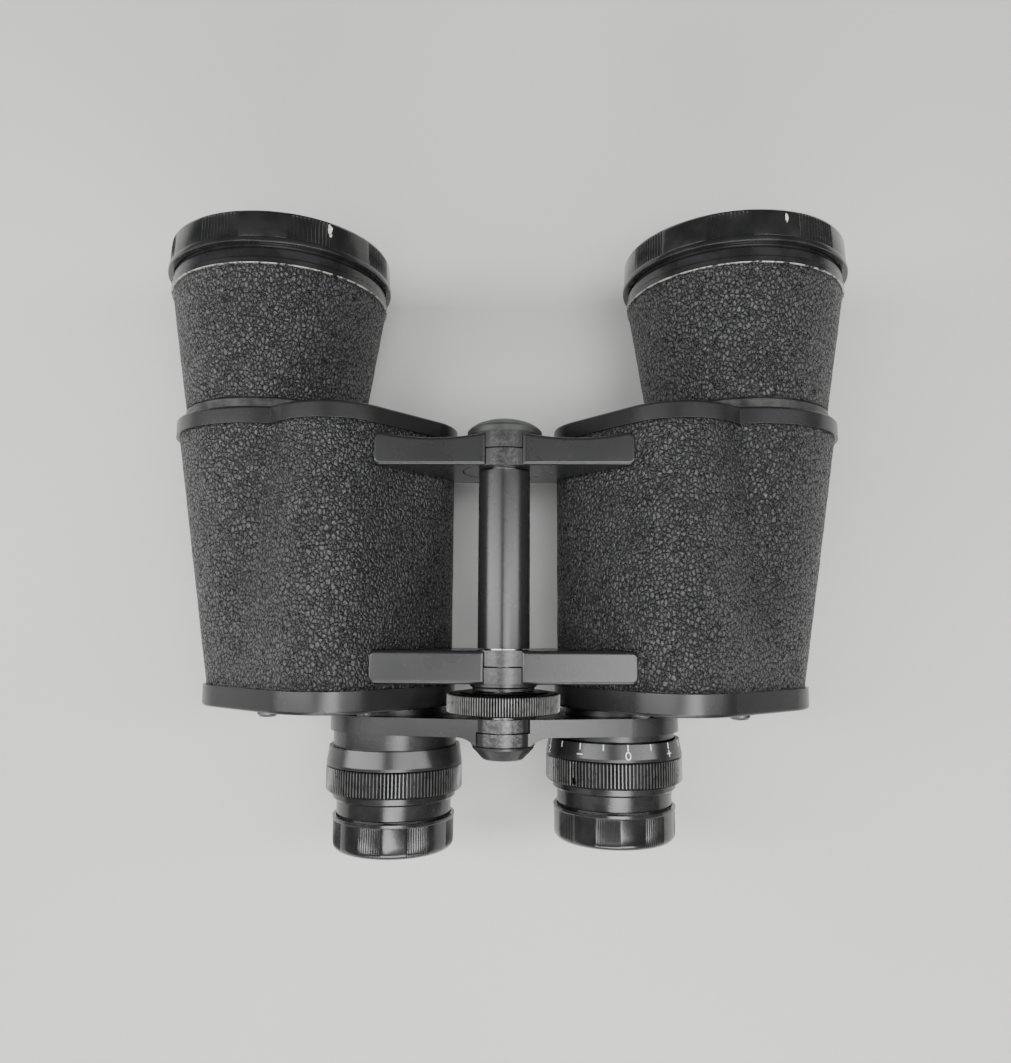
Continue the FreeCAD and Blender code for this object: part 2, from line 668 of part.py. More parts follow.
GRUB_ANGLE = -40


def grub_hole():
    """Radial hole for the grub screw that locks the ring to its thread."""
    direction = V(math.sin(math.radians(GRUB_ANGLE)), 0, math.cos(math.radians(GRUB_ANGLE)))
    middle = KNURL[1] + RIGHT_HEAD_SHIFT - 5.2
    return direction, V(EYE_X, middle, AXIS_Z)


def save_right_eyepiece():
    shift = RIGHT_HEAD_SHIFT
    direction, centre = grub_hole()
    screw_r = 0.9
    hole = Part.makeCylinder(screw_r, 10, centre + direction * (TUBE_R + RUN), direction)
    knurl = knurled_ring(shift, TUBE_R + RUN).cut(hole)
    grub = Part.makeCylinder(screw_r, 3.6, centre + direction * (TUBE_R + GAP), direction)
    pieces = {
        "eyepiece_tube": ring(EYE_X, AXIS_Z, TUBE_BORE_R, TUBE_R, -62.0, TUBE_FRONT),
        "eyepiece_spacer": ring(EYE_X, AXIS_Z, TUBE_R, 16.4, -53.3, BRIDGE[0]),
        "dioptre_tube": ring(EYE_X, AXIS_Z, DIOPTRE_BORE_R, DIOPTRE_TUBE_R, -71.4, -34.0),
        "dioptre_scale_ring": scale_ring(),
        "eyepiece_knurled_ring": knurl,
        "dioptre_grub_screw": grub,
        "eyecup": eyecup(shift, DIOPTRE_TUBE_R + RUN),
        "field_lens": lens(EYE_X, AXIS_Z, DIOPTRE_BORE_R, -45.2, -42.0, 0.3, 2.2),
        "eye_lens": lens(EYE_X, AXIS_Z, DIOPTRE_BORE_R, -69.0, -65.5, 2.2, 1.4),
        "eyepiece_cap": eye_cap(shift),
    }
    for name, shape in pieces.items():
        save("right_" + name, shape)


# ---- write everything -----------------------------------------------------
save("left_housing", mirrored(housing(left_arms(), PIN_R)))
save("right_housing", housing(right_arms(), PIN_R + RUN))
save_pair("housing_leather", housing_leather())
save_pair("front_cover", front_cover())
save_pair("rear_cover", rear_cover())
save_pair("cover_screws", cover_screws())
save_prisms()
save_objective()
save_pair("objective_cap", objective_cap())
save_pair("eyepiece_bush", eyepiece_bush())
save("hinge_pin", hinge_pin())
save("hinge_shaft_tube", shaft_tube())
save("hinge_front_cap", hinge_cap())
save("wheel_collar", wheel_collar())
save_focusing()
save_left_eyepiece()
save_right_eyepiece()
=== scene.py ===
import json
import math

import bmesh
import bpy
import numpy as np
from mathutils import Matrix, Vector, noise
from mathutils.bvhtree import BVHTree


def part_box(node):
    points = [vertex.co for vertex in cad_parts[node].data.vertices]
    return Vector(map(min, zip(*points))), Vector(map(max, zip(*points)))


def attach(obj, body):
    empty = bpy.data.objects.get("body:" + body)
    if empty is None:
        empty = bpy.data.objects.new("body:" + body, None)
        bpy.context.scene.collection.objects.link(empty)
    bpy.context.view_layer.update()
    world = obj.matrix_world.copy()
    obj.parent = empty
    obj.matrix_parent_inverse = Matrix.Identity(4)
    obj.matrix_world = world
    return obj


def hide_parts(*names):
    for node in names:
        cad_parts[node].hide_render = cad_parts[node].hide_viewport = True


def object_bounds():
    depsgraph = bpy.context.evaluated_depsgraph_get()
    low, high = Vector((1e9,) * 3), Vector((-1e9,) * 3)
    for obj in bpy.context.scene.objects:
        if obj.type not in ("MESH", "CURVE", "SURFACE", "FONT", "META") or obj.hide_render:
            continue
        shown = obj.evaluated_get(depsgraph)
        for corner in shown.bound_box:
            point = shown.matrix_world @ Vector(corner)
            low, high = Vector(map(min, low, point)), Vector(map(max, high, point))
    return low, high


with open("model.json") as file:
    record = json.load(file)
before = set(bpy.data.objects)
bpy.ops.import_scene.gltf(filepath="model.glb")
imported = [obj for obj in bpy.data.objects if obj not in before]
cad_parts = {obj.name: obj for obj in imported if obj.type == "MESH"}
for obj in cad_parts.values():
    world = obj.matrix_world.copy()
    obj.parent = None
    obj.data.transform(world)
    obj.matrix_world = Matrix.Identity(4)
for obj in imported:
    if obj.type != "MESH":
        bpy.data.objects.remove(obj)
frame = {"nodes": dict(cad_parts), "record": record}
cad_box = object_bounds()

MM = 0.001
nodes = frame["nodes"]
node_slot = {s["node"]: s["material_slot"] for s in frame["record"]["subparts"]}
node_body = {n: b for b, members in frame["record"]["behaviour"]["bodies"].items() for n in members}


# ---- materials ------------------------------------------------------------
class Shader:
    """A material's node tree with short names for the nodes it needs."""

    def __init__(self, name):
        self.mat = bpy.data.materials.new(name)
        self.mat.use_nodes = True
        self.tree = self.mat.node_tree
        self.bsdf = self.tree.nodes["Principled BSDF"]
        coord = self.tree.nodes.new("ShaderNodeTexCoord")
        scale = self.tree.nodes.new("ShaderNodeVectorMath")
        scale.operation = "SCALE"
        scale.inputs["Scale"].default_value = 1000.0
        self.tree.links.new(coord.outputs["Object"], scale.inputs[0])
        self.mm = scale.outputs[0]

    def link(self, a, b):
        self.tree.links.new(a, b)

    def stretch(self, x, y, z, source=None):
        n = self.tree.nodes.new("ShaderNodeVectorMath")
        n.operation = "MULTIPLY"
        self.link(source or self.mm, n.inputs[0])
        n.inputs[1].default_value = (x, y, z)
        return n.outputs[0]

    def noise(self, scale, detail=3.0, rough=0.55, source=None):
        n = self.tree.nodes.new("ShaderNodeTexNoise")
        self.link(source or self.mm, n.inputs["Vector"])
        n.inputs["Scale"].default_value = scale
        n.inputs["Detail"].default_value = detail
        n.inputs["Roughness"].default_value = rough
        return n

    def voronoi(self, scale, feature, source):
        n = self.tree.nodes.new("ShaderNodeTexVoronoi")
        n.feature = feature
        self.link(source, n.inputs["Vector"])
        n.inputs["Scale"].default_value = scale
        return n

    def remap(self, value, a, b, c=0.0, d=1.0):
        """The value eased from the range a to b into the range c to d."""
        n = self.tree.nodes.new("ShaderNodeMapRange")
        n.interpolation_type = "SMOOTHSTEP"
        self.link(value, n.inputs["Value"])
        for key, v in (("From Min", a), ("From Max", b), ("To Min", c), ("To Max", d)):
            n.inputs[key].default_value = v
        return n.outputs["Result"]

    def math(self, op, a, b=None):
        n = self.tree.nodes.new("ShaderNodeMath")
        n.operation = op
        for i, v in enumerate((a, b)):
            if v is None:
                continue
            if isinstance(v, (int, float)):
                n.inputs[i].default_value = v
            else:
                self.link(v, n.inputs[i])
        return n.outputs[0]

    def mix(self, factor, a, b):
        n = self.tree.nodes.new("ShaderNodeMix")
        n.data_type = "RGBA"
        self.link(factor, n.inputs["Factor"])
        for key, v in ((6, a), (7, b)):
            if isinstance(v, tuple):
                n.inputs[key].default_value = (*v, 1.0)
            else:
                self.link(v, n.inputs[key])
        return n.outputs[2]

    def red_of(self, colour):
        n = self.tree.nodes.new("ShaderNodeSeparateColor")
        self.link(colour, n.inputs[0])
        return n.outputs["Red"]

    def bump(self, height, distance, strength=1.0, under=None):
        n = self.tree.nodes.new("ShaderNodeBump")
        n.inputs["Distance"].default_value = distance * MM
        n.inputs["Strength"].default_value = strength
        self.link(height, n.inputs["Height"])
        if under is not None:
            self.link(under, n.inputs["Normal"])
        return n.outputs[0]

    def edge_wear(self, radius, low, high):
        """1 on sharp outer edges, broken up by noise, 0 on flats."""
        bevel = self.tree.nodes.new("ShaderNodeBevel")
        bevel.samples = 4
        bevel.inputs["Radius"].default_value = radius * MM
        geo = self.tree.nodes.new("ShaderNodeNewGeometry")
        dot = self.tree.nodes.new("ShaderNodeVectorMath")
        dot.operation = "DOT_PRODUCT"
        self.link(bevel.outputs[0], dot.inputs[0])
        self.link(geo.outputs["Normal"], dot.inputs[1])
        away = self.math("SUBTRACT", 1.0, dot.outputs["Value"])
        patch = self.remap(self.noise(0.35, 5.0, 0.7).outputs["Fac"], 0.38, 0.62, 0.25, 1.0)
        return self.math("MULTIPLY", self.remap(away, low, high), patch), bevel.outputs[0]

    def position(self, axis):
        n = self.tree.nodes.new("ShaderNodeSeparateXYZ")
        self.link(self.mm, n.inputs[0])
        return n.outputs[axis]

    def inside(self, axis, low, high, soft):
        """1 where the place along an axis, in mm, lies between two values."""
        place = self.position(axis)
        above = self.remap(place, low - soft, low)
        below = self.remap(place, high, high + soft, 1.0, 0.0)
        return self.math("MULTIPLY", above, below)

    def spot(self, centre, reach):
        """1 inside an ellipsoid round a place in mm, with a ragged edge."""
        away = self.tree.nodes.new("ShaderNodeVectorMath")
        away.operation = "SUBTRACT"
        self.link(self.mm, away.inputs[0])
        away.inputs[1].default_value = centre
        scaled = self.stretch(1 / reach[0], 1 / reach[1], 1 / reach[2], away.outputs[0])
        size = self.tree.nodes.new("ShaderNodeVectorMath")
        size.operation = "LENGTH"
        self.link(scaled, size.inputs[0])
        tatter = self.remap(self.noise(1.4, 3.0).outputs["Fac"], 0.3, 0.7, -0.35, 0.35)
        ragged = self.math("ADD", size.outputs["Value"], tatter)
        return self.remap(ragged, 0.85, 1.0, 1.0, 0.0)


def satin_paint():
    s = Shader("satin_black_paint")
    wear, rounded = s.edge_wear(0.14, 0.02, 0.14)
    cloud = s.noise(0.07, 3.0).outputs["Fac"]
    grain = s.noise(5.0, 2.0).outputs["Fac"]
    base = s.mix(s.remap(cloud, 0.2, 0.8), (0.013, 0.013, 0.0135), (0.016, 0.016, 0.0165))
    # paint rubbed thin on the crowns of the hinge knuckles and of the bridge hub
    across = s.math("ABSOLUTE", s.position("X"))
    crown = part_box("hinge_front_cap")[1].z / MM
    pin_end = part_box("hinge_pin")[0].y / MM
    hub_low, hub_high = (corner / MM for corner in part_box("right_bridge_arm"))
    knuckles = s.math("MULTIPLY", s.remap(across, 3.3, 3.9, 1.0, 0.0),
                      s.inside("Z", crown - 0.3, crown + 1.7, 0.5))
    knuckles = s.math("MULTIPLY", knuckles, s.remap(s.position("Y"), pin_end - 1.2, pin_end - 0.8))
    hub = s.math("MULTIPLY", s.remap(across, 4.6, 6.4, 1.0, 0.0),
                 s.inside("Y", hub_low.y + 0.2, hub_high.y + 0.2, 0.2))
    hub = s.math("MULTIPLY", hub, s.inside("Z", hub_high.z - 1.3, hub_high.z + 0.8, 0.6))
    chips = s.remap(s.noise(1.1, 6.0, 0.75).outputs["Fac"], 0.42, 0.62, 0.10, 1.0)
    rub = s.math("MULTIPLY", s.math("MAXIMUM", s.math("MULTIPLY", knuckles, 0.45), hub), chips)
    worn = s.math("MAXIMUM", s.math("MULTIPLY", wear, 0.30), s.math("MULTIPLY", rub, 0.55))
    s.link(s.mix(worn, base, (0.16, 0.16, 0.155)), s.bsdf.inputs["Base Color"])
    s.link(s.remap(cloud, 0.2, 0.8, 0.255, 0.285), s.bsdf.inputs["Roughness"])
    s.link(s.bump(grain, 0.012, 0.4, rounded), s.bsdf.inputs["Normal"])
    s.bsdf.inputs["Specular IOR Level"].default_value = 0.45
    return s.mat


def ribbed_wear_and_shade(node, depth, bare):
    """Black finish of a ribbed ring: paint thinned by fingers plus a painted highlight on the crests of the
    ribs, and painted shade in the grooves.
    """
    s = Shader("worn_and_shaded_" + node)
    low, high = (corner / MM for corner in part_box(node))
    middle = (low + high) / 2
    rim = (high.x - low.x) / 2
    up = s.math("SUBTRACT", s.position("Z"), middle.z)
    side = s.math("SUBTRACT", s.position("X"), middle.x)
    radius = s.math("SQRT", s.math("ADD", s.math("MULTIPLY", up, up), s.math("MULTIPLY", side, side)))
    crest = s.remap(radius, rim - 0.7 * depth, rim - 0.1 * depth)
    patchy = s.remap(s.noise(0.6, 4.0).outputs["Fac"], 0.3, 0.7, 0.5, 1.0)
    # painted shade: the grooves are darker than the paint; the paler crests are partly worn paint and partly
    # painted highlight
    tone = s.mix(s.math("MULTIPLY", crest, patchy), (0.004, 0.004, 0.004), (bare, bare, bare * 0.98))
    s.link(tone, s.bsdf.inputs["Base Color"])
    s.link(s.remap(patchy, 0.5, 1.0, 0.27, 0.33), s.bsdf.inputs["Roughness"])
    # painted shade: the reflection is turned down in the grooves
    shine = s.remap(radius, rim - 0.8 * depth, rim - 0.2 * depth, 0.1, 0.8)
    s.link(shine, s.bsdf.inputs["Specular IOR Level"])
    return s.mat


def glossy(name, tone, rough, coat):
    """Smooth black surface: enamel or moulded plastic, with rubbed edges."""
    s = Shader(name)
    wear, rounded = s.edge_wear(0.12, 0.03, 0.16)
    cloud = s.noise(0.16, 4.0).outputs["Fac"]
    dark = (tone * 0.8, tone * 0.8, tone * 0.82)
    pale = (tone * 1.2, tone * 1.2, tone * 1.2)
    base = s.mix(s.remap(cloud, 0.35, 0.65), dark, pale)
    base = s.mix(s.math("MULTIPLY", wear, 0.25), base, (0.12, 0.12, 0.115))
    s.link(base, s.bsdf.inputs["Base Color"])
    s.link(s.remap(cloud, 0.3, 0.7, rough * 0.85, rough * 1.2), s.bsdf.inputs["Roughness"])
    s.link(s.bump(s.noise(2.5, 2.0).outputs["Fac"], 0.006, 0.3, rounded), s.bsdf.inputs["Normal"])
    s.bsdf.inputs["Coat Weight"].default_value = coat
    s.bsdf.inputs["Coat Roughness"].default_value = 0.10
    return s, base


def front_ring_enamel():
    """Enamel of the front rings, rubbed to metal in a thin line beside the leather."""
    s, base = glossy("gloss_black_enamel", 0.012, 0.28, 0.2)
    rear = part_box("right_front_ring")[0].y / MM
    line = s.math("MULTIPLY", s.inside("Y", rear - 0.1, rear + 0.16, 0.06),
                  s.remap(s.noise(0.5, 5.0, 0.7).outputs["Fac"], 0.40, 0.56))
    s.link(s.mix(s.math("MULTIPLY", line, 0.85), base, (0.50, 0.49, 0.46)), s.bsdf.inputs["Base Color"])
    return s.mat


def on_rim(node, angle):
    """A place in mm on the skirt of an objective cap, angle in degrees from +Z towards +X."""
    low, high = (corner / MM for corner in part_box(node))
    middle = (low + high) / 2
    radius = (high.x - low.x) / 2 - 0.4
    t = math.radians(angle)
    return (middle.x + radius * math.sin(t), high.y - 2.4, middle.z + radius * math.cos(t))


def cap_plastic():
    """Moulded caps, with a small white chip on each objective cap."""
    s, base = glossy("cap_plastic", 0.012, 0.24, 0.3)
    chips = s.math("MAXIMUM", s.spot(on_rim("left_objective_cap", 38.3), (0.55, 2.1, 0.7)),
                   s.spot(on_rim("right_objective_cap", 11.8), (0.45, 1.3, 0.6)))
    s.link(s.mix(chips, base, (0.62, 0.60, 0.56)), s.bsdf.inputs["Base Color"])
    return s.mat


def leather():
    """Black leather cloth with small shining pebbles parted by creases darkened with painted shade."""
    s = Shader("pebbled_leather")
    wobble = s.noise(1.3, 2.0)
    shift = s.tree.nodes.new("ShaderNodeVectorMath")
    shift.operation = "MULTIPLY_ADD"
    s.link(wobble.outputs["Color"], shift.inputs[0])
    shift.inputs[1].default_value = (0.9, 0.9, 0.9)
    s.link(s.stretch(1.0, 0.74, 1.0), shift.inputs[2])
    edge = s.voronoi(1.02, "DISTANCE_TO_EDGE", shift.outputs[0]).outputs["Distance"]
    cell = s.voronoi(1.02, "F1", shift.outputs[0])
    pebble = s.remap(edge, 0.0, 0.30)
    lift = s.remap(s.red_of(cell.outputs["Color"]), 0.0, 1.0, 0.45, 1.0)
    wrinkle = s.noise(2.6, 4.0, 0.6).outputs["Fac"]
    height = s.math("ADD", s.math("MULTIPLY", pebble, lift), s.math("MULTIPLY", wrinkle, 0.55))
    tone = s.remap(s.noise(0.10, 3.0).outputs["Fac"], 0.35, 0.65)
    top = s.mix(tone, (0.015, 0.015, 0.0155), (0.022, 0.022, 0.0225))
    # painted shade: the creases between the pebbles are darkened in colour
    s.link(s.mix(s.remap(edge, 0.0, 0.10), (0.004, 0.004, 0.004), top), s.bsdf.inputs["Base Color"])
    gloss = s.math("ADD", s.remap(pebble, 0.1, 1.0, 0.58, 0.31),
                   s.remap(wrinkle, 0.3, 0.7, -0.05, 0.07))
    s.link(gloss, s.bsdf.inputs["Roughness"])
    s.link(s.bump(height, 0.62, 1.0), s.bsdf.inputs["Normal"])
    # painted shade: the reflection is turned down in the creases
    s.link(s.remap(edge, 0.0, 0.13, 0.05, 1.0), s.bsdf.inputs["Specular IOR Level"])
    return s.mat


def metal(name, pale, dark, rough, metallic):
    s = Shader(name)
    turned = s.noise(1.2, 3.0, source=s.stretch(0.06, 5.0, 0.06)).outputs["Fac"]
    cloud = s.noise(0.25, 5.0, 0.65).outputs["Fac"]
    s.link(s.mix(s.remap(cloud, 0.36, 0.64), dark, pale), s.bsdf.inputs["Base Color"])
    s.link(s.remap(turned, 0.3, 0.7, rough * 0.8, rough * 1.25), s.bsdf.inputs["Roughness"])
    s.link(s.bump(turned, 0.008, 0.5), s.bsdf.inputs["Normal"])
    s.bsdf.inputs["Metallic"].default_value = metallic
    return s.mat


def glass():
    s = Shader("optical_glass")
    sheen = s.noise(0.05, 2.0).outputs["Fac"]
    tint = s.mix(s.remap(sheen, 0.4, 0.6), (0.62, 0.66, 0.86), (0.72, 0.64, 0.82))
    s.link(tint, s.bsdf.inputs["Base Color"])
    s.link(s.remap(sheen, 0.3, 0.7, 0.015, 0.03), s.bsdf.inputs["Roughness"])
    s.bsdf.inputs["IOR"].default_value = 1.52
    s.bsdf.inputs["Transmission Weight"].default_value = 0.9
    s.bsdf.inputs["Coat Weight"].default_value = 0.6
    return s.mat


def scale_paint():
    s = Shader("white_scale_paint")
    wornness = s.noise(1.5, 4.0).outputs["Fac"]
    tint = s.mix(s.remap(wornness, 0.3, 0.6), (0.62, 0.62, 0.60), (0.88, 0.88, 0.86))
    s.link(tint, s.bsdf.inputs["Base Color"])
    s.link(s.remap(wornness, 0.3, 0.7, 0.45, 0.6), s.bsdf.inputs["Roughness"])
    return s.mat


materials = {
    "pebbled_leather": leather(),
    "satin_black_paint": satin_paint(),
    "gloss_black_enamel": front_ring_enamel(),
    "hard_plastic": glossy("hard_plastic", 0.012, 0.25, 0.15)[0].mat,
    "cap_plastic": cap_plastic(),
    "bare_alloy": metal("bare_alloy", (0.060, 0.060, 0.058), (0.022, 0.022, 0.022), 0.36, 0.5),
    "anodised_alloy": metal("anodised_alloy", (0.020, 0.020, 0.021), (0.011, 0.011, 0.011), 0.34, 0.5),
    "blackened_steel": metal("blackened_steel", (0.10, 0.10, 0.10), (0.035, 0.035, 0.035), 0.30, 0.8),
    "steel": metal("steel", (0.56, 0.56, 0.57), (0.40, 0.40, 0.41), 0.28, 1.0),
    "spring_brass": metal("spring_brass", (0.72, 0.54, 0.26), (0.50, 0.36, 0.16), 0.32, 1.0),
    "worn_grey_paint": metal("worn_grey_paint", (0.052, 0.056, 0.051), (0.030, 0.033, 0.030), 0.42, 0.15),
    "optical_glass": glass(),
}
white = scale_paint()
for name, obj in nodes.items():
    for slot in obj.material_slots:
        slot.material = materials[node_slot[name]]


# ---- mesh tools -----------------------------------------------------------
def piece(name, verts, faces, like, replaces=(), angle=35, material=None):
    """A mesh in millimetres that rides on the body of the CAD node `like`."""
    mesh = bpy.data.meshes.new(name)
    mesh.from_pydata([tuple(v) for v in np.asarray(verts) * MM], [], faces)
    bm = bmesh.new()
    bm.from_mesh(mesh)
    bmesh.ops.remove_doubles(bm, verts=bm.verts, dist=1e-6)
    bmesh.ops.recalc_face_normals(bm, faces=bm.faces)
    bm.to_mesh(mesh)
    bm.free()
    mesh.shade_smooth()
    mesh.set_sharp_from_angle(angle=math.radians(angle))
    obj = bpy.data.objects.new(name, mesh)
    bpy.context.scene.collection.objects.link(obj)
    slot = node_slot[like]
    obj.data.materials.append(material or materials[slot])
    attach(obj, node_body[like])
    if replaces:
        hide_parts(*replaces)
    return obj


def turned(name, like, profile, angles, relief):
    """Lathe of (radius, y, weight) round the axis of the CAD node `like`, which it replaces.
    relief(angle) times the weight is cut into the radius. Angles run from +Z towards +X."""
    lo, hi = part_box(like)
    cx, cz = (lo.x + hi.x) / 2 / MM, (lo.z + hi.z) / 2 / MM
    verts, faces = [], []
    rows, cols = len(profile), len(angles)
    for a in angles:
        t = math.radians(a)
        cut = relief(a)
        for r, y, w in profile:
            rr = r - cut * w
            verts.append((cx + rr * math.sin(t), y, cz + rr * math.cos(t)))
    for i in range(cols):
        j = (i + 1) % cols
        for k in range(rows):
            m = (k + 1) % rows
            if profile[k][0] == 0 and profile[m][0] == 0:
                continue
            quad = [i * rows + k, i * rows + m, j * rows + m, j * rows + k]
            if profile[k][0] == 0:
                quad.pop(3)
            elif profile[m][0] == 0:
                quad.pop(2)
            faces.append(quad)
    return piece(name, verts, faces, like, (like,), 28)


# ---- ribbed caps ----------------------------------------------------------
BANDS = 8
BAND = 180 / BANDS   # degrees: each band of fine ribs is followed by a smooth one as wide


def banded(start, ribs, depth):
    """Angles and relief of a skirt whose first ribbed band begins at `start` degrees."""
    angles = []
    steps = ribs * 6
    for k in range(BANDS):
        a = start + 2 * BAND * k
        angles += [a + BAND * i / steps for i in range(steps)]
        angles += [a + BAND + BAND * i / 12 for i in range(12)]

    def relief(a):
        f = ((a - start) % (2 * BAND)) / BAND
        if f >= 1:
            return 0.0
        wave = 0.25 + 0.75 * (0.5 - 0.5 * math.cos(2 * math.pi * ribs * f))
        return depth * wave * min(1, 14 * f, 14 * (1 - f))
    return angles, relief


def objective_cap(side, start):
    node = side + "_objective_cap"
    lo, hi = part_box(node)
    y0, y1 = lo.y / MM, hi.y / MM
    lip = (hi.x - lo.x) / 2 / MM
    body = lip - 0.3
    profile = [(0, y1 - 1.5, 0), (lip - 1.6, y1 - 1.5, 0), (lip - 1.6, y0, 0), (lip - 0.25, y0, 0),
               (lip - 0.05, y0 + 0.15, 0), (lip, y0 + 0.4, 0), (lip, y0 + 1.2, 0), (lip - 0.1, y0 + 1.45, 0),
               (body - 0.05, y0 + 1.6, 0), (body, y0 + 1.8, 1), (body - 0.1, y0 + 4.5, 1),
               (body - 0.25, y1 - 1.2, 1), (body - 0.35, y1 - 0.85, 0.3), (body - 0.65, y1 - 0.35, 0),
               (body - 1.2, y1, 0), (lip - 4.0, y1, 0), (lip - 4.35, y1 - 0.15, 0), (lip - 4.6, y1 - 0.5, 0),
               (18.0, y1 - 0.5, 0), (17.8, y1 - 0.42, 0), (17.4, y1 - 0.42, 0),
               (17.2, y1 - 0.5, 0), (0, y1 - 0.5, 0)]
    angles, relief = banded(start, 12, 0.34)
    turned(node + "_ribbed", node, profile, angles, relief)


def eyepiece_cap(side, start):
    node = side + "_eyepiece_cap"
    lo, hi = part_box(node)
    rim, end = hi.y / MM, lo.y / MM
    r = (hi.x - lo.x) / 2 / MM
    bore = r - 0.95
    profile = [(0, end + 2.0, 0), (bore, end + 2.0, 0), (bore, rim, 0), (r - 0.12, rim, 0),
               (r, rim - 0.15, 0),
               (r, rim - 0.8, 0), (r - 0.13, rim - 0.95, 0), (r - 0.16, rim - 1.15, 1),
               (r - 0.15, end + 3.2, 1),
               (r - 0.2, end + 1.8, 1), (r - 0.3, end + 1.2, 0.4), (r - 0.6, end + 0.7, 0),
               (r - 1.05, end + 0.25, 0), (r - 1.6, end + 0.03, 0), (r - 2.3, end, 0), (0, end, 0)]
    angles, relief = banded(start, 10, 0.2)
    turned(node + "_ribbed", node, profile, angles, relief)


objective_cap("left", 17.35)
objective_cap("right", -26.5)
eyepiece_cap("left", 19.7)
eyepiece_cap("right", -23.0)


# ---- straight knurls ------------------------------------------------------
def ridged(count, depth):
    steps = [0.0, 0.30, 0.42, 0.58, 0.88, 0.94]
    angles = [360 * (i + f) / count for i in range(count) for f in steps]

    def relief(a):
        f = (a * count / 360) % 1
        if f < 0.30:
            return 0.0
        if f < 0.62:
            return depth * min(1, (f - 0.30) / 0.14)
        return depth * min(1, (1 - f) / 0.14)
    return angles, relief


def knurl(side):
    node = side + "_eyepiece_knurled_ring"
    lo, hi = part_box(node)
    y0, y1 = lo.y / MM, hi.y / MM
    r = (hi.x - lo.x) / 2 / MM
    bore = 13.3          # the eyepiece tube inside it is 13.2 in radius
    profile = [(bore, y0, 0), (r - 0.75, y0, 0), (r - 0.55, y0 + 0.08, 0.4), (r - 0.1, y0 + 0.5, 1),
               (r, y0 + 0.65, 1), (r, y1 - 0.5, 1), (r - 0.12, y1 - 0.3, 1),
               (r - 0.5, y1, 0.3), (bore, y1, 0)]
    angles, relief = ridged(122, 0.42)
    if side == "left":
        ring = turned(node + "_ridged", node, profile, angles, relief)
    else:
        # the right ring has a small hole for its grub screw; the ridges stop round it
        glo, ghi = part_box("right_dioptre_grub_screw")
        cx, cz = (lo.x + hi.x) / 2, (lo.z + hi.z) / 2
        out = math.degrees(math.atan2((glo.x + ghi.x) / 2 - cx, (glo.z + ghi.z) / 2 - cz))
        ring = grub_knurl(node, profile, angles, relief, out, (glo.y + ghi.y) / 2 / MM, r)
    ring.data.materials[0] = ribbed_wear_and_shade(node, 0.42, 0.055)


def grub_knurl(node, profile, angles, relief, out, gy, r):
    """Ridged ring whose face is divided finely round the grub hole and dished there."""
    lo_y, hi_y = profile[4][1], profile[5][1]
    fine = [lo_y + (hi_y - lo_y) * i / 18 for i in range(19)]
    long = profile[:4] + [(r, y, 1) for y in fine] + profile[6:]
    near = sorted(set([a for a in angles if abs((a - out + 180) % 360 - 180) > 4.6]
                      + [(out + 0.3 * i) % 360 for i in range(-15, 16)]))
    obj = turned(node + "_ridged", node, long, near, relief)
    lo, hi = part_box(node)
    cx, cz = (lo.x + hi.x) / 2, (lo.z + hi.z) / 2
    t = math.radians(out)
    outward = Vector((math.sin(t), 0, math.cos(t)))
    mid = Vector((cx, gy * MM, cz)) + outward * r * MM
    for v in obj.data.vertices:
        d = v.co - mid
        if d.dot(outward) < -0.6 * MM:
            continue
        across = (d - outward * d.dot(outward)).length / MM
        if across < 0.78:
            v.co -= outward * 1.5 * MM * (1 if across < 0.62 else (0.78 - across) / 0.16)
    return obj


knurl("left")
knurl("right")


def focus_wheel():
    lo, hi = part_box("focus_wheel")
    y0, y1 = lo.y / MM, hi.y / MM
    r = (hi.x - lo.x) / 2 / MM
    bore = 4.05          # clears the focusing spindle
    profile = [(bore, y0, 0), (11.0, y0, 0), (11.6, y0 + 0.5, 0), (r - 0.75, y0 + 0.5, 0),
               (r - 0.5, y0 + 0.58, 0.3),
               (r - 0.1, y0 + 0.8, 1), (r, y0 + 1.0, 1), (r, y1 - 0.9, 1), (r - 0.1, y1 - 0.72, 1),
               (r - 0.5, y1 - 0.48, 0.3), (r - 0.75, y1 - 0.4, 0), (11.6, y1 - 0.4, 0),
               (11.0, y1, 0), (bore, y1, 0)]
    angles, relief = ridged(130, 0.5)
    wheel = turned("focus_wheel_ridged", "focus_wheel", profile, angles, relief)
    wheel.data.materials[0] = ribbed_wear_and_shade("focus_wheel", 0.5, 0.15)


focus_wheel()


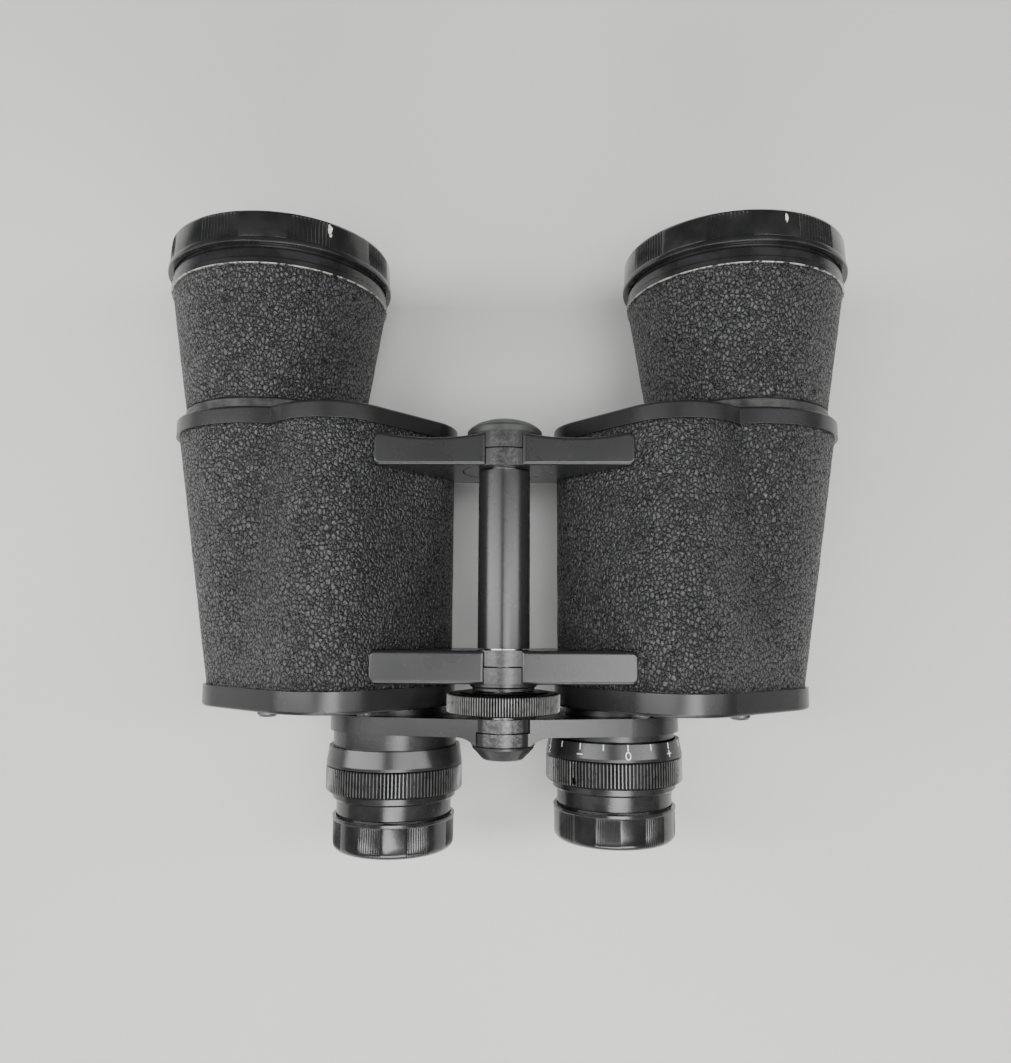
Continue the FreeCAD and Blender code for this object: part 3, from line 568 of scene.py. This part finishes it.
# ---- dioptre scale --------------------------------------------------------
def scale_marks():
    """White ticks every 20 degrees with plus, minus, nought and two, laid on the cone."""
    lo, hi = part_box("right_dioptre_scale_ring")
    cx, cz = (lo.x + hi.x) / 2 / MM, (lo.z + hi.z) / 2 / MM
    y_wide, y_front = lo.y / MM + 0.7, hi.y / MM
    r_wide = (hi.x - lo.x) / 2 / MM
    r_front = r_wide - 0.65
    zero = 5.4           # degrees from the top to the nought
    step = 20
    verts, faces = [], []

    def surface(angle, s, y, lift):
        r = r_front + (r_wide - r_front) * (y_front - y) / (y_front - y_wide) + lift
        t = math.radians(angle) + s / r_wide
        return (cx + r * math.sin(t), y, cz + r * math.cos(t))

    def stroke(angle, path, width, closed=False):
        """A raised ribbon along points (s, y) on the cone."""
        pts = [Vector(p) for p in path]
        n = len(pts)
        for i in range(n if closed else n - 1):
            a, b = pts[i], pts[(i + 1) % n]
            along = (b - a).normalized()
            side = Vector((-along.y, along.x)) * width / 2
            ends = (a - along * width * 0.3, b + along * width * 0.3)
            base = len(verts)
            for lift in (-0.05, 0.05):
                for p in (ends[0] + side, ends[1] + side, ends[1] - side, ends[0] - side):
                    verts.append(surface(angle, p.x, p.y, lift))
            faces.extend([[base + 4, base + 5, base + 6, base + 7], [base + 3, base + 2, base + 1, base]])
            for k in range(4):
                m = (k + 1) % 4
                faces.append([base + k, base + m, base + 4 + m, base + 4 + k])

    top = y_front - 0.15
    mid = y_front - 2.75
    for k in range(-4, 5):
        stroke(zero + step * k, [(0, top), (0, top - 1.35)], 0.25)
    turns = [2 * math.pi * i / 14 for i in range(14)]
    ring = [(0.62 * math.sin(t), mid + 0.92 * math.cos(t)) for t in turns]
    stroke(zero, ring, 0.22, closed=True)
    stroke(zero - 2 * step, [(-0.75, mid), (0.75, mid)], 0.23)
    stroke(zero + 2 * step, [(-0.75, mid), (0.75, mid)], 0.23)
    stroke(zero + 2 * step, [(0, mid - 0.75), (0, mid + 0.75)], 0.23)
    two = [(-0.55, mid + 0.45), (-0.3, mid + 0.85), (0.15, mid + 0.92), (0.5, mid + 0.6), (0.45, mid + 0.2),
           (0.0, mid - 0.35), (-0.55, mid - 0.88), (0.6, mid - 0.88)]
    stroke(zero - 4 * step, two, 0.22)
    stroke(zero + 4 * step, two, 0.22)
    piece("dioptre_scale_marks", verts, faces, "right_dioptre_scale_ring", material=white)


scale_marks()


# ---- leather --------------------------------------------------------------
SKIN_EDGE = 1.3      # mm, the longest edge left in the leather
SKIN_DEPTH = 0.4     # mm, faces further than this from the casting are the outer skin
CREASE = 7           # degrees, hollow edges sharper than this are eased
EASE_RINGS = 5
EASE_STEPS = 26


def refine(bm, targets, longest):
    """Halves the edges of the chosen faces until none is longer than `longest` mm."""
    tag = bm.faces.layers.int.new("skin")
    for f in bm.faces:
        f[tag] = 1 if f.index in targets else 0
    for _ in range(12):
        long = [e for e in bm.edges if e.calc_length() > longest * MM and any(f[tag] for f in e.link_faces)]
        if not long:
            break
        bmesh.ops.subdivide_edges(bm, edges=long, cuts=1)
        bmesh.ops.triangulate(bm, faces=[f for f in bm.faces if len(f.verts) > 3])
    return tag


def leather_skin(side, part, core_node):
    """The wrap as thin leather: creases eased, surface gently uneven."""
    node = side + "_" + part
    core = bmesh.new()
    core.from_mesh(nodes[side + "_" + core_node].data)
    tree = BVHTree.FromBMesh(core)
    core.free()
    bm = bmesh.new()
    bm.from_mesh(nodes[node].data)
    bmesh.ops.remove_doubles(bm, verts=bm.verts, dist=2e-6)
    bmesh.ops.triangulate(bm, faces=bm.faces)
    bm.faces.ensure_lookup_table()
    targets = set()
    for f in bm.faces:
        centre = f.calc_center_median()
        hit = tree.find_nearest(centre)
        if abs(f.normal.y) < 0.9 and (hit[0] is None or (hit[0] - centre).length > SKIN_DEPTH * MM):
            targets.add(f.index)
    tag = refine(bm, targets, SKIN_EDGE)
    bm.normal_update()
    bm.verts.ensure_lookup_table()
    free = {v for v in bm.verts if v.link_faces and all(f[tag] for f in v.link_faces)}
    crease = set()
    for e in bm.edges:
        if len(e.link_faces) == 2 and all(f[tag] for f in e.link_faces):
            if not e.is_convex and e.calc_face_angle(0.0) > math.radians(CREASE):
                crease.update(e.verts)
    zone = {v for v in crease if v in free}
    for _ in range(EASE_RINGS):
        zone |= {o for v in zone for e in v.link_edges for o in e.verts if o in free}
    for _ in range(EASE_STEPS):
        bmesh.ops.smooth_vert(bm, verts=list(zone), factor=0.5,
                              use_axis_x=True, use_axis_y=True, use_axis_z=True)
    bm.normal_update()
    moves = []
    for v in free:
        p = v.co / MM
        lump = noise.noise(p * 0.16) * 0.10 + noise.noise(p * 0.75) * 0.05
        moves.append((v, v.normal * lump * MM))
    for v, d in moves:
        v.co += d
    mesh = bpy.data.meshes.new(node + "_grained")
    bm.to_mesh(mesh)
    bm.free()
    mesh.shade_smooth()
    mesh.set_sharp_from_angle(angle=math.radians(50))
    obj = bpy.data.objects.new(node + "_grained", mesh)
    bpy.context.scene.collection.objects.link(obj)
    mesh.materials.append(materials["pebbled_leather"])
    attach(obj, node_body[node])
    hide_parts(node)


for half in ("left", "right"):
    leather_skin(half, "housing_leather", "housing")
    leather_skin(half, "barrel_leather", "objective_barrel")


# ---- floor, light and camera ----------------------------------------------
floor_mesh = bpy.data.meshes.new("floor")
floor_mesh.from_pydata([(-3, -3, 0), (3, -3, 0), (3, 3, 0), (-3, 3, 0)], [], [[0, 1, 2, 3]])
floor = bpy.data.objects.new("floor", floor_mesh)
bpy.context.scene.collection.objects.link(floor)
floor.location.z = cad_box[0].z - 0.0002
shade = Shader("pale_floor")
tint = shade.remap(shade.noise(0.004, 2.0).outputs["Fac"], 0.3, 0.7)
shade.link(shade.mix(tint, (0.50, 0.50, 0.49), (0.54, 0.54, 0.53)), shade.bsdf.inputs["Base Color"])
shade.bsdf.inputs["Roughness"].default_value = 0.8
floor_mesh.materials.append(shade.mat)


def area(name, place, target, size, power):
    light = bpy.data.lights.new(name, "AREA")
    light.shape = "RECTANGLE"
    light.size, light.size_y = size
    light.energy = power
    obj = bpy.data.objects.new(name, light)
    bpy.context.scene.collection.objects.link(obj)
    obj.location = place
    obj.rotation_euler = (Vector(target) - Vector(place)).to_track_quat("-Z", "Y").to_euler()


area("left", (-0.50, 0.02, 0.50), (0, 0, 0.04), (0.16, 0.90), 6.0)
area("right", (0.40, 0.02, 0.62), (0, 0, 0.04), (0.12, 0.90), 4.6)
area("top", (0.09, -0.22, 0.78), (0, -0.02, 0.04), (0.56, 0.20), 4.4)
area("front", (0.02, -0.62, 0.36), (0, -0.03, 0.03), (0.60, 0.26), 4.5)
world = bpy.data.worlds.new("studio")
bpy.context.scene.world = world
world.use_nodes = True
world.node_tree.nodes["Background"].inputs["Color"].default_value = (0.92, 0.94, 0.96, 1)
world.node_tree.nodes["Background"].inputs["Strength"].default_value = 0.08

camera = bpy.data.objects.new("camera", bpy.data.cameras.new("camera"))
bpy.context.scene.collection.objects.link(camera)
camera.data.sensor_fit = "AUTO"
camera.data.sensor_width = 36.0
camera.data.lens = 27.533
camera.data.clip_start = 0.02
tilt, roll, swing = 0.119130, 0.014154, 0.005294
turn = Matrix.Rotation(swing, 4, "Z") @ Matrix.Rotation(roll, 4, "Y") @ Matrix.Rotation(tilt, 4, "X")
camera.matrix_world = Matrix.Translation((0.003472, -0.0246, 0.260259)) @ turn
bpy.context.scene.camera = camera
